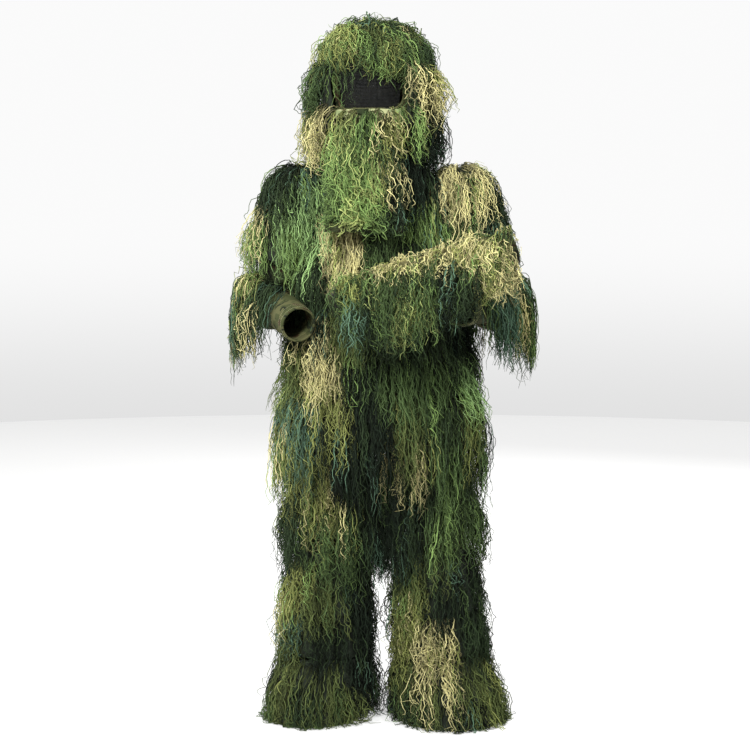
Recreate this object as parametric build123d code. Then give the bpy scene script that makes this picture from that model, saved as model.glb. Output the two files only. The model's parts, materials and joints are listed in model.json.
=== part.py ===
"""A ghillie suit as it hangs when worn: jacket, trousers, hood with a face veil, and a rifle wrap.

Millimetres, +Z up, the suit facing -Y, the wearer's right at -X. Work is done in coordinates centred on the
wearer and is moved at the end, so that the origin is the bottom centre of the whole suit's box.
Camouflage fabric is a thin shell, and each sewn row of thread bundles is a thicker flared solid over it.
Where the suit bends, one sleeve ends in a ball-shaped gusset that turns inside its neighbour.
"""

import os
from math import atan2, degrees, sqrt

from build123d import *

# Driving dimensions
FABRIC = 3.0            # camouflage fabric with its lining net
PILE = 20.0             # one row of thread bundles on a limb
BODY_PILE = 25.0        # and round the body, where the bundles are fuller
FLARE = 0.24            # how far a row stands off per millimetre that it hangs
CLEAR = 1.0             # gap between a row and the fabric under it
NECK_X = -15.0          # the head is carried a little to the wearer's right
HOOD_YAW = -8.0         # and looks a little to that side, in degrees
HOOD_R, HOOD_Z = 120.0, 1685.0          # the crown's radius and its centre's height
NECK_R, NECK_Z = 92.0, 1515.0           # the hood's neck edge
FAR = 2000.0            # longer than the suit, for cutting tools
ORIGIN = (5.0, -106.5, 0.0)             # the box's bottom centre in wearer coordinates

# The jacket's elliptical sections: height, half width, half depth, sideways shift
TORSO = [
    (790, 211, 150, 0),
    (1000, 178, 134, 0),
    (1250, 172, 130, 0),
    (1390, 158, 104, -4),
    (1480, 84, 84, NECK_X),
]
TORSO_ROWS = [(1386, 178), (1258, 188), (1126, 188), (994, 188), (862, 142)]  # top, length
SEAT = [(790, 196, 134), (985, 150, 112)]

SIDES = {"right": -1, "left": 1}
SHOULDER = {"right": Vector(-205, 5, 1385), "left": Vector(205, 5, 1385)}
ELBOW = {"right": Vector(-285, 20, 1100), "left": Vector(295, 0, 1100)}
WRIST = {"right": Vector(-205, -200, 1055), "left": Vector(200, -250, 1100)}
HIP = {"right": Vector(-98, 0, 800), "left": Vector(98, 0, 800)}
KNEE = {"right": Vector(-138, -5, 480), "left": Vector(150, -10, 480)}
HEM = {"right": Vector(-148, 0, 62), "left": Vector(170, -5, 62)}
TOE = {"right": Vector(-0.55, -0.835, 0), "left": Vector(0.45, -0.893, 0)}
BOOT = {"right": (160, 138, 42), "left": (176, 162, 50)}  # half length, half width, how far forward
FOREARM_ROW = {"right": (76, 172), "left": (84, 215)}   # where the hanging row starts and ends

SHOULDER_R, ELBOW_R, HIP_R, KNEE_R = 70.0, 72.0, 84.0, 80.0
SLEEVE_R = {"shoulder": 62.0, "elbow": 56.0, "forearm": 50.0, "wrist": 45.0}
LEG_R = {"hip": 84.0, "knee": 74.0, "hem": 90.0}

WRAP_START, WRAP_END = Vector(-120, -290, 1112), Vector(325, -375, 1250)
WRAP_R = 36.0


def cone(start, end, r_start, r_end):
    """A solid truncated cone between two points."""
    way = end - start
    plane = Plane(origin=start, z_dir=way.normalized())
    if abs(r_start - r_end) < 1e-6:
        return Solid.make_cylinder(r_start, way.length, plane)
    return Solid.make_cone(r_start, r_end, way.length, plane)


def outline_in(plane, corners):
    """A flat polygon in a plane."""
    return make_face(Polyline(*[plane.from_local_coords((*c, 0)) for c in corners], close=True).edges())


def ball(centre, radius):
    return Pos(*centre) * Sphere(radius)


def tube(start, end, r_start, r_end, wall=FABRIC):
    """A tapered fabric tube, open at both ends."""
    way = (end - start).normalized()
    slope = (r_end - r_start) / (end - start).length
    outer = cone(start, end, r_start, r_end)
    inner = cone(start - way, end + way, r_start - wall - slope, r_end - wall + slope)
    return outer - inner


def ellipse_at(z, a, b, x=0.0):
    return Pos(x, 0, z) * Ellipse(a, b)


def stack(sections, grow=0.0):
    """A solid lofted straight through elliptical sections, each grown by the same amount."""
    faces = [ellipse_at(s[0], s[1] + grow, s[2] + grow, s[3] if len(s) > 3 else 0) for s in sections]
    return loft(faces, ruled=True)


def hollow(sections, wall=FABRIC):
    """The same as a shell that is open at the top and bottom."""
    low, high = sections[0], sections[-1]
    under = [(low[0] - 1, *low[1:])] + sections[1:-1] + [(high[0] + 1, *high[1:])]
    return stack(sections) - stack(under, -wall)


def torso_at(z):
    """The jacket's half width, half depth and shift at a height."""
    for lower, upper in zip(TORSO, TORSO[1:]):
        if z <= upper[0]:
            t = (z - lower[0]) / (upper[0] - lower[0])
            return [lower[i] + t * (upper[i] - lower[i]) for i in (1, 2, 3)]
    return list(TORSO[-1][1:])


def half_space(x, side):
    """Everything beyond a plane of constant X, on the side named by the sign."""
    return Pos(x + side * FAR / 2, 0, FAR / 2) * Box(FAR, FAR, 2 * FAR)


def toward(start, end, distance):
    return start + (end - start).normalized() * distance


def solid_of(shape):
    """The largest solid, so that a boolean's slivers don't stay."""
    return max(shape.solids(), key=lambda s: s.volume)


# --- sleeves -------------------------------------------------------------------------------------

UPPER_END, FOREARM_START = 50.0, {"right": 58.0, "left": 66.0}


def sleeve_clearance(side):
    """The space that an arm's fabric needs at rest, for cutting the jacket round it."""
    shoulder, elbow, wrist = SHOULDER[side], ELBOW[side], WRIST[side]
    room = 4.0
    return (
        ball(shoulder, SHOULDER_R + 3)
        + cone(shoulder, elbow, SLEEVE_R["shoulder"] + room, SLEEVE_R["elbow"] + room)
        + ball(elbow, ELBOW_R + room)
        + cone(elbow, toward(wrist, elbow, -15), SLEEVE_R["forearm"] + 8, SLEEVE_R["wrist"] + 8)
    )


def sleeve_upper(side):
    """From a ball-shaped sleeve head in the armhole to just above the elbow."""
    shoulder, elbow = SHOULDER[side], ELBOW[side]
    end = toward(elbow, shoulder, UPPER_END)
    r_head, r_end = SLEEVE_R["shoulder"], SLEEVE_R["elbow"]
    outer = ball(shoulder, SHOULDER_R) + cone(shoulder, end, r_head, r_end)
    inner = ball(shoulder, SHOULDER_R - FABRIC)
    inner += cone(shoulder, toward(shoulder, end, (end - shoulder).length + 1), r_head - FABRIC, r_end - FABRIC)
    inward = Vector(-SIDES[side], 0, 0.15).normalized()
    armhole = cone(shoulder, shoulder + inward * 120, 20, 95)
    return solid_of(outer - inner - armhole)


def elbow_gusset(side):
    """A ball-shaped gusset, open towards the upper sleeve and the forearm."""
    elbow = ELBOW[side]
    shell = ball(elbow, ELBOW_R) - ball(elbow, ELBOW_R - FABRIC)
    shell -= cone(elbow, toward(elbow, SHOULDER[side], 100), 10, 80)
    shell -= cone(elbow, toward(elbow, WRIST[side], 100), 44, 44)
    return solid_of(shell)


def forearm_sleeve(side):
    start = toward(ELBOW[side], WRIST[side], FOREARM_START[side])
    end = toward(WRIST[side], ELBOW[side], 30)
    return tube(start, end, SLEEVE_R["forearm"], SLEEVE_R["wrist"] + 1)


def cuff(side):
    """A doubled band with the elastic in it, at the wrist."""
    start = toward(WRIST[side], ELBOW[side], 30)
    return tube(start, WRIST[side], SLEEVE_R["wrist"] + 2, SLEEVE_R["wrist"], 5.0)


ROW_END, ROW_FLARE, ROW_PILE = 112.0, 26.0, PILE + 2     # the upper sleeve's row above the elbow


def inner_cuts(side, shift=0.0):
    """Two slabs that keep the shoulder's row off the body and off the neck."""
    shoulder, out = SHOULDER[side], SIDES[side]
    inner = Plane(origin=shoulder - Vector(out * (14 + shift), 0, 0), x_dir=(0, 1, 0), z_dir=(out, 0, 0.28))
    neck = Plane(origin=shoulder + Vector(0, 0, 20 + shift), x_dir=(0, 1, 0), z_dir=(out, 0, -0.95))
    return [plane * Pos(0, 0, -300) * Box(900, 900, 600) for plane in (inner, neck)]


def upper_row(side, room=0.0):
    """A row over the shoulder's outer side and down the upper sleeve, or the space it needs."""
    shoulder, elbow = SHOULDER[side], ELBOW[side]
    end = toward(elbow, shoulder, ROW_END - room)
    r_top, r_low = SHOULDER_R + CLEAR, SLEEVE_R["elbow"] + 5 + ROW_FLARE
    thick = ROW_PILE + room
    row = ball(shoulder, r_top + thick) + cone(shoulder, end, r_top + thick, r_low + thick)
    if not room:
        down = (end - shoulder).normalized()
        row -= ball(shoulder, r_top) + cone(shoulder, end + down, r_top, r_low + 0.5)
    for slab in inner_cuts(side, room):
        row -= slab
    return solid_of(row)


def forearm_row(side):
    """Threads laid over the forearm that hang on its outer side and round the outside of the elbow."""
    elbow, wrist, out = ELBOW[side], WRIST[side], SIDES[side]
    level = Vector(wrist.X - elbow.X, wrist.Y - elbow.Y, 0).normalized()
    sideways = Vector(level.Y, -level.X, 0)
    if sideways.X * out < 0:
        sideways = -sideways
    first, last = FOREARM_ROW[side]
    near, far = ELBOW_R + 6, ELBOW_R + 6 + PILE + 4
    section = Plane(origin=elbow + level * first - Vector(0, 0, 8), x_dir=sideways, z_dir=sideways.cross(Vector(0, 0, 1)))
    along = 1 if section.z_dir.dot(level) > 0 else -1
    arch = Ellipse(far, 84) - Ellipse(near, 62)
    arch -= Pos(0, -200) * Rectangle(400, 400)
    arch -= Pos(-212, 0) * Rectangle(400, 400)
    saddle = extrude(section * arch, along * (last - first))
    skirt_top, skirt_low = elbow.Z + 14, elbow.Z - 176
    corners = [(0, skirt_top), (last, skirt_top), (last, skirt_low + 14), (0, skirt_low)]
    face = make_face(
        Polyline(*[Vector(elbow.X, elbow.Y, 0) + level * s + sideways * near + Vector(0, 0, z) for s, z in corners],
                 close=True).edges()
    )
    skirt = extrude(face, far - near, dir=sideways)
    ring = Pos(elbow.X, elbow.Y, (skirt_top + skirt_low) / 2) * (
        Cylinder(far, skirt_top - skirt_low) - Cylinder(near, FAR)
    )
    backward = level * -1
    for facing in (sideways, (backward + sideways * 0.25).normalized()):
        keep = Plane(origin=elbow, z_dir=facing)
        ring -= keep * Pos(0, 0, -500) * Box(FAR, FAR, 1000)
    return solid_of(saddle + skirt + ring)


# --- jacket --------------------------------------------------------------------------------------

PLACKET_W = 36.0


def both_sleeves():
    return sleeve_clearance("right") + sleeve_clearance("left")


def jacket_panels(arms):
    """Back and two fronts, which meet at the side seams and under the placket."""
    shell = hollow(TORSO) - arms
    behind = Pos(0, FAR / 2, FAR / 2) * Box(FAR, FAR, 2 * FAR)
    front = shell - behind
    return {
        "jacket_back": solid_of(shell & behind),
        "jacket_front_right": solid_of(front & half_space(0, -1)),
        "jacket_front_left": solid_of(front - half_space(0, -1)),
    }


def placket():
    """The flap that covers the front closure."""
    cover = stack(TORSO[:4], 0.3 + FABRIC) - stack(TORSO[:4], 0.3)
    window = Pos(0, -FAR / 2, 1090) * Box(PLACKET_W, FAR, 560)
    return solid_of(cover & window)


def snaps():
    """Five snap fasteners through the fronts, each a cap inside and a stud ring."""
    made = []
    for z in range(850, 1371, 130):
        depth = min(torso_at(z - 7)[1], torso_at(z + 7)[1]) - FABRIC
        cap = Pos(0, -depth + 1.4, z) * Rot(90, 0, 0) * Cylinder(7.0, 2.0)
        made.append(cap)
    return Compound(children=made)


def torso_row(index, arms):
    """A sewn row round the jacket over the placket, cut away where the arms pass."""
    top, length = TORSO_ROWS[index]
    a, b, x = torso_at(top)
    low_a, low_b, low_x = torso_at(top - length)
    clear = FABRIC + CLEAR
    off = FLARE * length + clear

    def form(extra, over):
        low = ellipse_at(top - length - over, low_a + off + extra, low_b + off + extra, low_x)
        high = ellipse_at(top + over, a + clear + extra, b + clear + extra, x)
        return loft([low, high], ruled=True)

    row = form(BODY_PILE, 0) - form(0, 1) - arms
    return row - upper_row("right", 5) - upper_row("left", 5)


def yoke_rows(arms):
    """The highest row is parted by the arms into a front and a back."""
    row = torso_row(0, arms)
    behind = Pos(0, FAR / 2, 0) * Box(FAR, FAR, 2 * FAR)
    return {"yoke_fringe_front": solid_of(row - behind), "yoke_fringe_back": solid_of(row & behind)}


def collar():
    ring = Pos(NECK_X, 0, 1505) * (Cylinder(84, 50) - Cylinder(81, 60))
    return ring


def hem_band():
    """The doubled edge under the jacket's lowest row, with its elastic."""
    sections = [(762, 214, 153), (790, 211, 150)]
    return hollow(sections, 5.0)


def hood_skirt():
    base = Vector(NECK_X, 0, 1440)
    return tube(base, base + Vector(0, 0, 65), 132, 98)


def hood_skirt_row(arms):
    base = Vector(NECK_X, 0, 1428)
    top = base + Vector(0, 0, 74)
    lift = Vector(0, 0, 1)
    row = cone(base, top, 138 + PILE, 101 + PILE) - cone(base - lift, top + lift, 138.5, 100.5)
    return solid_of(row - ball(SHOULDER["right"], SHOULDER_R + 4) - ball(SHOULDER["left"], SHOULDER_R + 4) - arms)


# --- trousers ------------------------------------------------------------------------------------


def seat():
    return hollow(SEAT)


def waistband():
    return hollow([(985, 150, 112), (1028, 148, 110)], 4.0)


def waist_elastic():
    return hollow([(990, 145.5, 107.5), (1023, 143.7, 105.7)], 2.0)


def crotch_gusset():
    """The strip that joins the legs under the seat, between the two thighs."""
    strip = Cylinder(128, 14, rotation=(0, 90, 0)) - Cylinder(120, 20, rotation=(0, 90, 0))
    strip -= Pos(0, 0, FAR / 2) * Box(FAR, FAR, FAR)
    return solid_of(Pos(0, 0, 789) * strip)


def leg_radius(side, s):
    """The leg's radius at a distance above the knee, or below it if negative."""
    if s >= 0:
        return LEG_R["knee"] + (LEG_R["hip"] - LEG_R["knee"]) * s / (HIP[side] - KNEE[side]).length
    return LEG_R["knee"] + (LEG_R["hem"] - LEG_R["knee"]) * -s / (HEM[side] - KNEE[side]).length


def leg_point(side, s):
    return toward(KNEE[side], HIP[side] if s >= 0 else HEM[side], abs(s))


def thigh(side):
    """A trouser leg from a ball-shaped top under the seat to just above the knee."""
    hip, end = HIP[side], leg_point(side, 40)
    r_end = leg_radius(side, 40)
    outer = ball(hip, HIP_R) + cone(hip, end, LEG_R["hip"], r_end)
    inner = ball(hip, HIP_R - FABRIC)
    inner += cone(hip, leg_point(side, 39), LEG_R["hip"] - FABRIC, r_end - FABRIC)
    inner += cone(hip, hip + Vector(0, 0, 100), 62, 62)
    return solid_of(outer - inner)


def knee_gusset(side):
    knee = KNEE[side]
    shell = ball(knee, KNEE_R) - ball(knee, KNEE_R - FABRIC)
    shell -= cone(leg_point(side, -110), leg_point(side, 110), 62, 62)
    return solid_of(shell)


def shin(side):
    return tube(leg_point(side, -40), HEM[side], leg_radius(side, -40), LEG_R["hem"])


def leg_row(side, top, length):
    """A row round a leg, cut flat where the other leg would touch it."""
    flare = 0.185 * length
    start, end = leg_point(side, top), leg_point(side, top - length)
    r_top = leg_radius(side, top) + CLEAR + 0.5
    r_low = leg_radius(side, top - length) + CLEAR + flare
    way = (end - start).normalized()
    row = cone(start, end, r_top + PILE, r_low + PILE) - cone(start - way, end + way, r_top - 0.2, r_low + 0.2)
    return solid_of(row - half_space(SIDES[side] * 2, -SIDES[side]))


def boot_row(side):
    """The lowest row, which spreads over the boot and rests on the ground."""
    ankle = leg_point(side, -318)
    long, wide, forward = BOOT[side]
    turn = degrees(atan2(TOE[side].Y, TOE[side].X))
    floor = Plane(origin=Vector(HEM[side].X, HEM[side].Y, 0) + TOE[side] * forward) * Rot(0, 0, turn)
    r_top = leg_radius(side, -318) + 3

    def solid(extra, over):
        low = floor * Pos(0, 0, -over) * Ellipse(long - PILE + extra, wide - PILE + extra)
        high = Pos(ankle.X, ankle.Y, ankle.Z + over) * Circle(r_top + extra)
        return loft([low, high], ruled=True)

    return solid_of(solid(PILE, 0) - solid(0, 0.5) - half_space(SIDES[side] * 8, -SIDES[side]))


# --- hood ----------------------------------------------------------------------------------------


def hood_form(grow):
    """The hood's outer form: a dome on a neck that narrows downwards."""
    centre, neck = Vector(NECK_X, 0, HOOD_Z), Vector(NECK_X, 0, NECK_Z)
    dome = ball(centre, HOOD_R + grow) - Pos(NECK_X, 0, HOOD_Z - FAR / 2) * Box(FAR, FAR, FAR)
    return dome + cone(neck, centre, NECK_R + grow, HOOD_R + grow)


def face_cutter(half_w, low, high):
    """A rounded slot from the hood's middle out through its face."""
    face = Plane(origin=(NECK_X, 0, (low + high) / 2), x_dir=(1, 0, 0), z_dir=(0, -1, 0))
    return extrude(face * RectangleRounded(2 * half_w, high - low, 30), FAR / 4)


def hood_crown():
    """The hood's fabric, with the face opening cut and the neck open."""
    inner = hood_form(-FABRIC)
    inner += cone(Vector(NECK_X, 0, NECK_Z - 1), Vector(NECK_X, 0, NECK_Z + 3), NECK_R - FABRIC, NECK_R - FABRIC)
    return solid_of(hood_form(0) - inner - face_cutter(84, 1602, 1722))


def eye_mesh():
    """The see-through net behind the face opening."""
    return solid_of((hood_form(-4) - hood_form(-6)) & face_cutter(92, 1594, 1730))


def sector(profile, start, sweep):
    """A ring-shaped piece of revolution round the neck, from one bearing through an arc."""
    flat = Plane.XZ * Polyline(*profile, close=True)
    face = make_face(flat.edges())
    turned = revolve(face, Axis.Z, sweep)
    return Pos(NECK_X, 0, 0) * Rot(0, 0, start) * turned


HOOD_ROW = [(110, 1748), (146, 1668), (150, 1520), (176, 1520), (174, 1660), (134, 1748)]
BRIM_ROW = [(110, 1748), (142, 1690), (166, 1690), (134, 1748)]


def hood_cap():
    centre = Vector(NECK_X, 0, HOOD_Z)
    shell = ball(centre, HOOD_R + 30) - ball(centre, HOOD_R + 2)
    return solid_of(shell - Pos(NECK_X, 0, 1752 - FAR / 2) * Box(FAR, FAR, FAR))


# --- veil ----------------------------------------------------------------------------------------

VEIL_TOP, VEIL_LOW = 1598.0, 1288.0


def veil_form(radius_top, radius_low, high, low):
    """A solid cone round the neck that leans out downwards."""
    axis = lambda z: Vector(NECK_X, 0, z)
    return cone(axis(low), axis(high), radius_low, radius_top)


def veil_radius(z):
    return 126 + (215 - 126) * (VEIL_TOP - z) / (VEIL_TOP - VEIL_LOW)


def veil_piece(high, low, stand_top, stand_low, thick, half_top, half_low):
    """A curved trapezium of the veil, standing off its surface by one amount at the top and one below."""
    r_top, r_low = veil_radius(high), veil_radius(low)
    outer = veil_form(r_top + stand_top + thick, r_low + stand_low + thick, high, low)
    inner = veil_form(r_top + stand_top, r_low + stand_low, high + 0.01, low - 0.01)
    front = Plane(origin=(NECK_X, 0, 0), x_dir=(1, 0, 0), z_dir=(0, -1, 0))
    outline = outline_in(front, [(-half_top, high), (half_top, high), (half_low, low), (-half_low, low)])
    return solid_of((outer - inner) & extrude(outline, FAR / 4, dir=(0, -1, 0)))


# --- rifle wrap ----------------------------------------------------------------------------------


def wrap_plane():
    """X along the wrap seen from above, Y up, Z towards the front."""
    level = Vector(WRAP_END.X - WRAP_START.X, WRAP_END.Y - WRAP_START.Y, 0).normalized()
    return Plane(origin=WRAP_START, x_dir=level, z_dir=Vector(level.Y, -level.X, 0))


def wrap_span():
    """How far the wrap rises, and how far it runs along the level."""
    way = WRAP_END - WRAP_START
    return way.Z, sqrt(way.X**2 + way.Y**2)


def wrap_sleeve():
    return tube(WRAP_START, WRAP_END, WRAP_R, WRAP_R)


def wrap_elastics():
    """Two elastic bands that draw the wrap's ends in."""
    span = (WRAP_END - WRAP_START).length
    made = []
    for s in (14, span - 26):
        a, b = toward(WRAP_START, WRAP_END, s), toward(WRAP_START, WRAP_END, s + 12)
        made.append(cone(a, b, WRAP_R + 2.5, WRAP_R + 2.5) - cone(a, b, WRAP_R + 0.3, WRAP_R + 0.3))
    return Compound(children=made)


def wrap_saddle():
    """Threads over the wrap's top that hang a little way down behind it."""
    over = cone(WRAP_START, WRAP_END, WRAP_R + 26, WRAP_R + 26) - cone(WRAP_START, WRAP_END, WRAP_R + 4, WRAP_R + 4)
    frame, rise, run = wrap_plane(), *wrap_span()
    below = [(-200, -200 * rise / run), (run + 200, (run + 200) * rise / run), (run + 200, -600), (-200, -600)]
    over -= extrude(outline_in(frame, below), 200, both=True)
    behind = [(8, 4), (run - 8, rise - 4), (run - 8, rise - 90), (8, -90)]
    plate = extrude(outline_in(frame, behind), 22, dir=frame.z_dir)
    return solid_of(over + Pos(*(frame.z_dir * -(WRAP_R + 26))) * plate)


def wrap_curtain():
    """The plate of hanging threads in front of the wrap, deep at the near end and short at the muzzle end."""
    frame, rise, run = wrap_plane(), *wrap_span()
    drop = -1.5
    outline = [
        (0, drop),
        (run, rise + drop),
        (run, rise - 120),
        (run * 0.66, rise - 165),
        (run * 0.6, -225),
        (0, -215),
    ]
    plate = extrude(outline_in(frame, outline), 22, dir=frame.z_dir)
    return solid_of(Pos(*(frame.z_dir * (WRAP_R + 4))) * plate)


def build():
    """Every node's shape by name."""
    arms = both_sleeves()
    nodes = dict(jacket_panels(arms))
    nodes["front_placket"] = placket()
    nodes["snap_fasteners"] = snaps()
    nodes["collar"] = collar()
    nodes["jacket_hem_band"] = hem_band()
    nodes.update(yoke_rows(arms))
    for i in range(1, len(TORSO_ROWS)):
        nodes[f"torso_fringe_{i}"] = solid_of(torso_row(i, arms))
    nodes["hood_skirt"] = hood_skirt()
    nodes["hood_skirt_fringe"] = hood_skirt_row(arms)
    nodes["trouser_seat"] = seat()
    nodes["waistband"] = waistband()
    nodes["waist_elastic"] = waist_elastic()
    nodes["crotch_gusset"] = crotch_gusset()

    for side in SIDES:
        nodes[f"sleeve_upper_{side}"] = sleeve_upper(side)
        nodes[f"sleeve_fringe_{side}"] = upper_row(side)
        nodes[f"elbow_gusset_{side}"] = elbow_gusset(side)
        nodes[f"forearm_sleeve_{side}"] = forearm_sleeve(side)
        nodes[f"forearm_fringe_{side}"] = forearm_row(side)
        nodes[f"cuff_{side}"] = cuff(side)
        nodes[f"thigh_{side}"] = thigh(side)
        nodes[f"thigh_fringe_{side}"] = leg_row(side, 218, 176)
        nodes[f"knee_gusset_{side}"] = knee_gusset(side)
        nodes[f"shin_{side}"] = shin(side)
        nodes[f"shin_fringe_upper_{side}"] = leg_row(side, -32, 162)
        nodes[f"shin_fringe_lower_{side}"] = leg_row(side, -178, 130)
        nodes[f"boot_fringe_{side}"] = boot_row(side)

    hood = {
        "hood_crown": hood_crown(),
        "eye_mesh": eye_mesh(),
        "hood_fringe_top": hood_cap(),
        "hood_fringe_brim": sector(BRIM_ROW, -90 - 48, 96),
        "hood_fringe_left": sector(HOOD_ROW, -90 + 50, 84),
        "hood_fringe_back": sector(HOOD_ROW, 90 - 44, 88),
        "hood_fringe_right": sector(HOOD_ROW, -90 - 50 - 84, 84),
        "veil_panel": veil_piece(VEIL_TOP, VEIL_LOW, 0, 0, FABRIC, 84, 100),
        "veil_top_band": veil_piece(VEIL_TOP, VEIL_TOP - 22, FABRIC + 0.2, FABRIC + 0.2, 2.5, 84, 85),
        "veil_fringe_upper": veil_piece(VEIL_TOP - 24, 1425, FABRIC + 1, 28, PILE, 84, 96),
        "veil_fringe_lower": veil_piece(1455, VEIL_LOW, FABRIC + 1, 28, PILE - 2, 88, 102),
    }
    turn = Pos(NECK_X, 0, 0) * Rot(0, 0, HOOD_YAW) * Pos(-NECK_X, 0, 0)
    nodes.update({name: turn * shape for name, shape in hood.items()})

    nodes["wrap_sleeve"] = wrap_sleeve()
    nodes["wrap_elastics"] = wrap_elastics()
    nodes["wrap_fringe_top"] = wrap_saddle()
    nodes["wrap_fringe_front"] = wrap_curtain()
    return nodes


def main():
    os.makedirs("parts", exist_ok=True)
    to_origin = Pos(*(-Vector(*ORIGIN)))
    low, high = Vector(FAR, FAR, FAR), Vector(-FAR, -FAR, -FAR)
    for name, shape in build().items():
        placed = to_origin * shape
        box = placed.bounding_box()
        low = Vector(*(min(p, q) for p, q in zip(low, box.min)))
        high = Vector(*(max(p, q) for p, q in zip(high, box.max)))
        export_step(placed, f"parts/{name}.step")
    print("box", low, high, "bottom centre is off by", (low + high).X / 2, (low + high).Y / 2)


main()
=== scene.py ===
"""The looks of a ghillie suit: camouflage fabric under rows of loose crinkled thread bundles.

Every length is in metres in the row frame: +Z up, the suit faces -Y, and the wearer's right is at -X.
"""

import json
import math

import bmesh
import bpy
import numpy as np
from mathutils import Matrix, Vector, noise
from mathutils.bvhtree import BVHTree

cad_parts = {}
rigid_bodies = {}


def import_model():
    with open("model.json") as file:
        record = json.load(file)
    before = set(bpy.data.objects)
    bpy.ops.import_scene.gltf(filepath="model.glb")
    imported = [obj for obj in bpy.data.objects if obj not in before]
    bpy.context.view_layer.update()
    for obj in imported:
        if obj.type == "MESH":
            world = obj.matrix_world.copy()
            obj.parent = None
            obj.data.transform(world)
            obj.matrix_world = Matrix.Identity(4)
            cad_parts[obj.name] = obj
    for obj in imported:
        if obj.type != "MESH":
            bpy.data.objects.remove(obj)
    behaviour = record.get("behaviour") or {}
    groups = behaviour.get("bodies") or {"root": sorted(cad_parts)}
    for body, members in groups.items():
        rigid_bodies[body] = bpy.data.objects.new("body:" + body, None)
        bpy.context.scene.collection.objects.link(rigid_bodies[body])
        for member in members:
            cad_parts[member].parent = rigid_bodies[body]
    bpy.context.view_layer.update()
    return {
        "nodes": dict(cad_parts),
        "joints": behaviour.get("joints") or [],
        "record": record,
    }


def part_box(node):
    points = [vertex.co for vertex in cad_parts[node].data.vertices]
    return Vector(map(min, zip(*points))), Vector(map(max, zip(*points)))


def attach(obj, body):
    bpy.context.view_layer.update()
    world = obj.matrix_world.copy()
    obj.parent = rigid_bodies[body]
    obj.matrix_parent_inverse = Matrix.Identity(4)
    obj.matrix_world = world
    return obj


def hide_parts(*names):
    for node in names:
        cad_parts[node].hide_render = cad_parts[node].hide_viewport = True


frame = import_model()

rng = np.random.default_rng(11)
nodes = frame["nodes"]
SIDES = {"right": -1, "left": 1}
STEPS = 12                      # straight pieces in the line of one lock
KINKS = 16                      # straight pieces in one thread
ALONG = np.linspace(0, 1, KINKS + 1)
SHARE = 1.0
TINY = 1e-6                     # a shorter vector has no direction
LEAST_RADIUS = 0.01             # a ray that meets no cloth gives less than this
PATCH_DROP = 0.085              # from a bundle's root down to its middle
FLOOR_GAP = 0.0022              # no thread's line is nearer the floor
joint_at = {j["name"]: Vector(j["pos_m"]) for j in frame["joints"] if "pos_m" in j}

# --- palette ----------------------------------------------------------

PALETTE = {
    "black": (0.01, 0.017, 0.009),
    "dark": (0.03, 0.05, 0.021),
    "forest": (0.076, 0.122, 0.042),
    "green": (0.185, 0.285, 0.085),
    "leaf": (0.29, 0.45, 0.17),
    "lime": (0.37, 0.43, 0.145),
    "olive": (0.25, 0.28, 0.085),
    "moss": (0.105, 0.135, 0.042),
    "tan": (0.62, 0.57, 0.27),
    "teal": (0.1, 0.18, 0.115),
}
NAMES = list(PALETTE)
# How many steps of painted shade each colour has, from threads deep in the pile to those standing out
PAINTED_SHADE_STEPS = 6


def unit(vector, otherwise):
    return vector.normalized() if vector.length > TINY else Vector(otherwise)


def heading(angle, rise=0.0):
    """A direction by its angle from -Y, positive towards +X, and its rise above the level."""
    level = math.cos(rise)
    return Vector((math.sin(angle) * level, -math.cos(angle) * level, math.sin(rise)))


def add_object(name, data):
    made = bpy.data.objects.new(name, data)
    bpy.context.scene.collection.objects.link(made)
    return made


def new_material(name, roughness, specular=0.5):
    material = bpy.data.materials.new(name)
    material.use_nodes = True
    tree = material.node_tree
    shader = tree.nodes["Principled BSDF"]
    shader.inputs["Roughness"].default_value = roughness
    shader.inputs["Specular IOR Level"].default_value = specular
    return material, tree, shader


def math_node(tree, operation, *values):
    node = tree.nodes.new("ShaderNodeMath")
    node.operation = operation
    for socket, value in zip(node.inputs, values):
        if isinstance(value, (int, float)):
            socket.default_value = value
        else:
            tree.links.new(value, socket)
    return node.outputs[0]


def remap(tree, value, low, high, to_low, to_high):
    node = tree.nodes.new("ShaderNodeMapRange")
    tree.links.new(value, node.inputs["Value"])
    for key, number in zip(("From Min", "From Max", "To Min", "To Max"), (low, high, to_low, to_high)):
        node.inputs[key].default_value = number
    return node.outputs["Result"]


def cloudy(tree, where, scale, detail=2.0, distortion=0.0):
    """Noise from 0 to 1."""
    node = tree.nodes.new("ShaderNodeTexNoise")
    for key, number in (("Scale", scale), ("Detail", detail), ("Distortion", distortion)):
        node.inputs[key].default_value = number
    tree.links.new(where, node.inputs["Vector"])
    return node.outputs["Fac"]


def shade_colour(tree, colour, factor):
    """The colour times a factor."""
    node = tree.nodes.new("ShaderNodeVectorMath")
    node.operation = "SCALE"
    tree.links.new(colour, node.inputs[0])
    tree.links.new(factor, node.inputs["Scale"])
    return node.outputs[0]


def ramp(tree, value, stops, kind="CONSTANT"):
    node = tree.nodes.new("ShaderNodeValToRGB")
    node.color_ramp.interpolation = kind
    elements = node.color_ramp.elements
    while len(elements) < len(stops):
        elements.new(0.5)
    for element, (position, colour) in zip(elements, stops):
        element.position = position
        element.color = (*colour, 1)
    tree.links.new(value, node.inputs[0])
    return node.outputs["Color"]


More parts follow.
